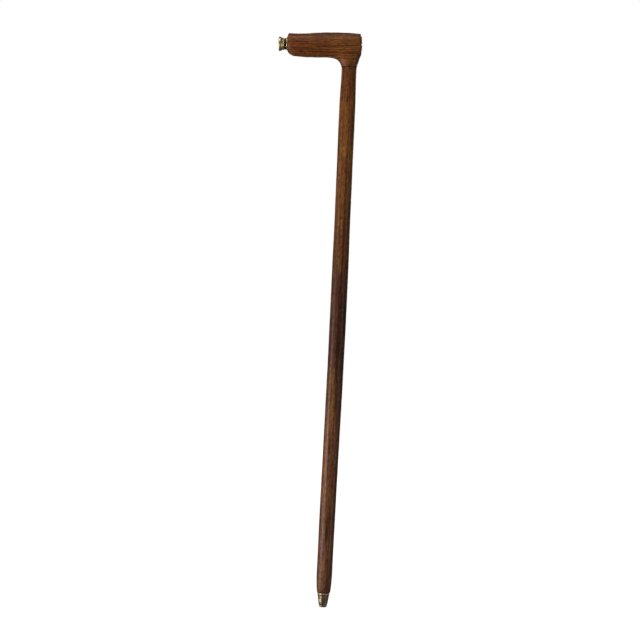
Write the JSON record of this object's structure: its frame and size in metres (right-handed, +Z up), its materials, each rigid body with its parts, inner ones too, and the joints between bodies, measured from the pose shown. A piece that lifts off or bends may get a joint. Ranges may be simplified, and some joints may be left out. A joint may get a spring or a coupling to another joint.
{
  "type": "walking cane with handle telescope",
  "caption": "Straight wooden walking cane with an L-shaped handle that holds a sliding brass draw telescope, and a brass ferrule with a steel tip.",
  "frame": {"origin": "centre of the steel tip's flat bottom face, on the ground when the cane stands upright", "axes": "+Z up along the shaft, -X towards the eyepiece end of the handle, Y across the handle's width"},
  "size_m": [0.1335, 0.031, 0.914],
  "materials": {
    "shaft_wood": "oiled rosewood, lengthwise grain",
    "handle_wood": "oiled rosewood, hand-polished",
    "aged_brass": "tarnished, satin",
    "tube_brass": "worn, darkened",
    "inner_brass": "turned, unpolished",
    "pale_brass": "rubbed bright",
    "steel": "worn, dark",
    "glass": "polished"
  },
  "bodies": {
    "cane": {"shaft": "shaft_wood", "neck_stud": "steel", "ferrule": "aged_brass", "ferrule_ring": "pale_brass", "steel_tip": "steel", "handle": "handle_wood", "main_tube": "inner_brass", "guide_collar": "aged_brass", "objective_bezel": "aged_brass", "objective_lens": "glass", "objective_ring": "inner_brass"},
    "slider": {"friction_ring": "pale_brass"},
    "draw": {"draw_tube": "tube_brass", "draw_end_ring": "inner_brass", "eyepiece_cup": "aged_brass", "eye_lens": "glass", "eye_lens_ring": "inner_brass", "erector_cell": "inner_brass", "erector_front_lens": "glass", "erector_back_lens": "glass", "erector_spacer": "inner_brass", "erector_ring": "inner_brass"}
  },
  "joints": [
    {"name": "draw_slide", "type": "slide", "parent": "cane", "child": "slider", "axis": [-0.9989, 0, -0.0478], "range_m": [-0.0029, 0.0835]},
    {"name": "draw_spin", "type": "hinge", "parent": "slider", "child": "draw", "pos_m": [0, 0, 0.8966], "axis": [-0.9989, 0, -0.0478], "continuous": true}
  ]
}
